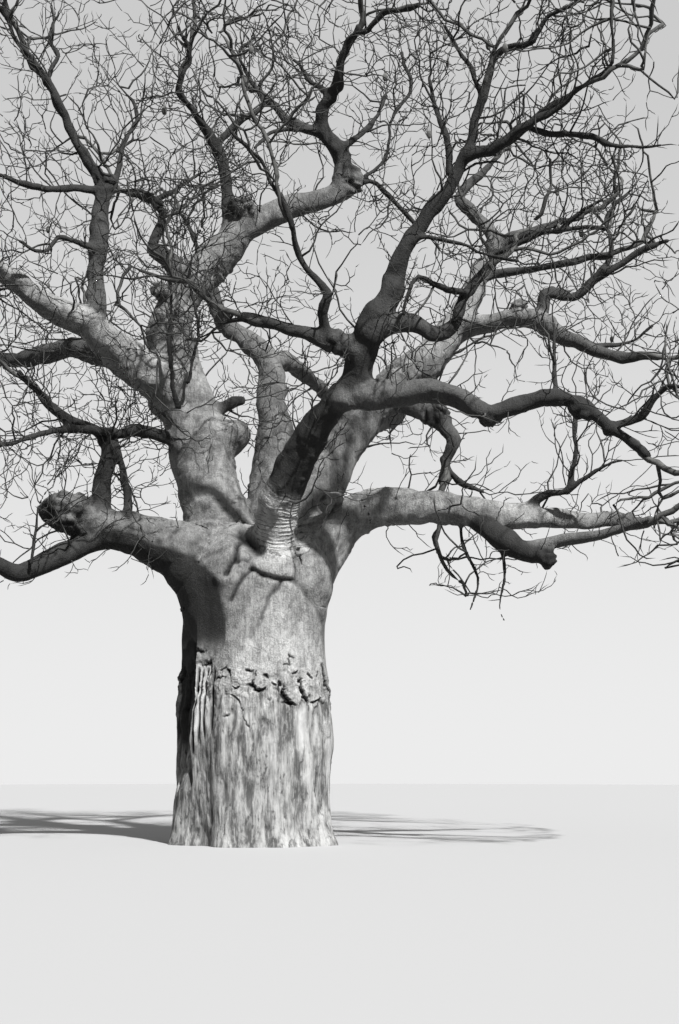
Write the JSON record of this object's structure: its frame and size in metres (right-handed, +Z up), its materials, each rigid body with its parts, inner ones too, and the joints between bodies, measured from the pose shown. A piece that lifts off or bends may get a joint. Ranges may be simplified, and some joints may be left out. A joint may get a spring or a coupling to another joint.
{
  "type": "baobab tree",
  "caption": "Whole leafless baobab: stout trunk with stripped bark, flat cut at ground level, crooked tapering boughs and masses of bare twigs.",
  "frame": {"origin": "middle of the flat cut under the trunk, at ground level", "axes": "+Z up, +X to the right of the view from the front, +Y away from the front"},
  "size_m": [17.9791, 15.9579, 19.0537],
  "materials": {
    "trunk_bark": "smooth folded grey bark above, pale fibrous stripped wood with torn lips of bark below",
    "bough_bark": "matt grey bark with ring wrinkles, knots and darker weathered patches",
    "twig_bark": "matt dark grey bark on bare crooked twigs"
  },
  "bodies": {
    "root": {"trunk": "trunk_bark", "left_leader": "bough_bark", "right_leader": "bough_bark", "near_bough": "bough_bark", "left_low_bough": "bough_bark", "right_low_bough": "bough_bark", "middle_back_bough": "bough_bark", "left_leader_top": "bough_bark", "left_mid_bough": "bough_bark", "left_riser": "bough_bark", "left_back_bough": "bough_bark", "left_low_fork": "bough_bark", "left_low_riser": "bough_bark", "left_hook": "bough_bark", "crown_riser": "bough_bark", "top_riser": "bough_bark", "top_left_arm": "bough_bark", "near_leader": "bough_bark", "near_right_bough": "bough_bark", "near_inner_arm": "bough_bark", "near_left_arm": "bough_bark", "near_left_riser": "bough_bark", "near_top_right": "bough_bark", "right_leader_top": "bough_bark", "right_top_arm": "bough_bark", "right_arm": "bough_bark", "right_mid_bough": "bough_bark", "right_drop_bough": "bough_bark", "right_low_fork": "bough_bark", "right_low_tip": "bough_bark", "back_bough": "bough_bark", "rear_left_bough": "bough_bark", "rear_right_bough": "bough_bark", "right_low_bough_twigs": "twig_bark", "middle_back_bough_twigs": "twig_bark", "left_mid_bough_twigs": "twig_bark", "left_riser_twigs": "twig_bark", "left_back_bough_twigs": "twig_bark", "left_low_fork_twigs": "twig_bark", "left_low_riser_twigs": "twig_bark", "left_hook_twigs": "twig_bark", "crown_riser_twigs": "twig_bark", "top_riser_twigs": "twig_bark", "top_left_arm_twigs": "twig_bark", "near_leader_twigs": "twig_bark", "near_right_bough_twigs": "twig_bark", "near_inner_arm_twigs": "twig_bark", "near_left_arm_twigs": "twig_bark", "near_left_riser_twigs": "twig_bark", "near_top_right_twigs": "twig_bark", "right_leader_top_twigs": "twig_bark", "right_top_arm_twigs": "twig_bark", "right_arm_twigs": "twig_bark", "right_mid_bough_twigs": "twig_bark", "right_drop_bough_twigs": "twig_bark", "right_low_tip_twigs": "twig_bark", "back_bough_twigs": "twig_bark", "rear_left_bough_twigs": "twig_bark", "rear_right_bough_twigs": "twig_bark"}
  },
  "joints": []
}
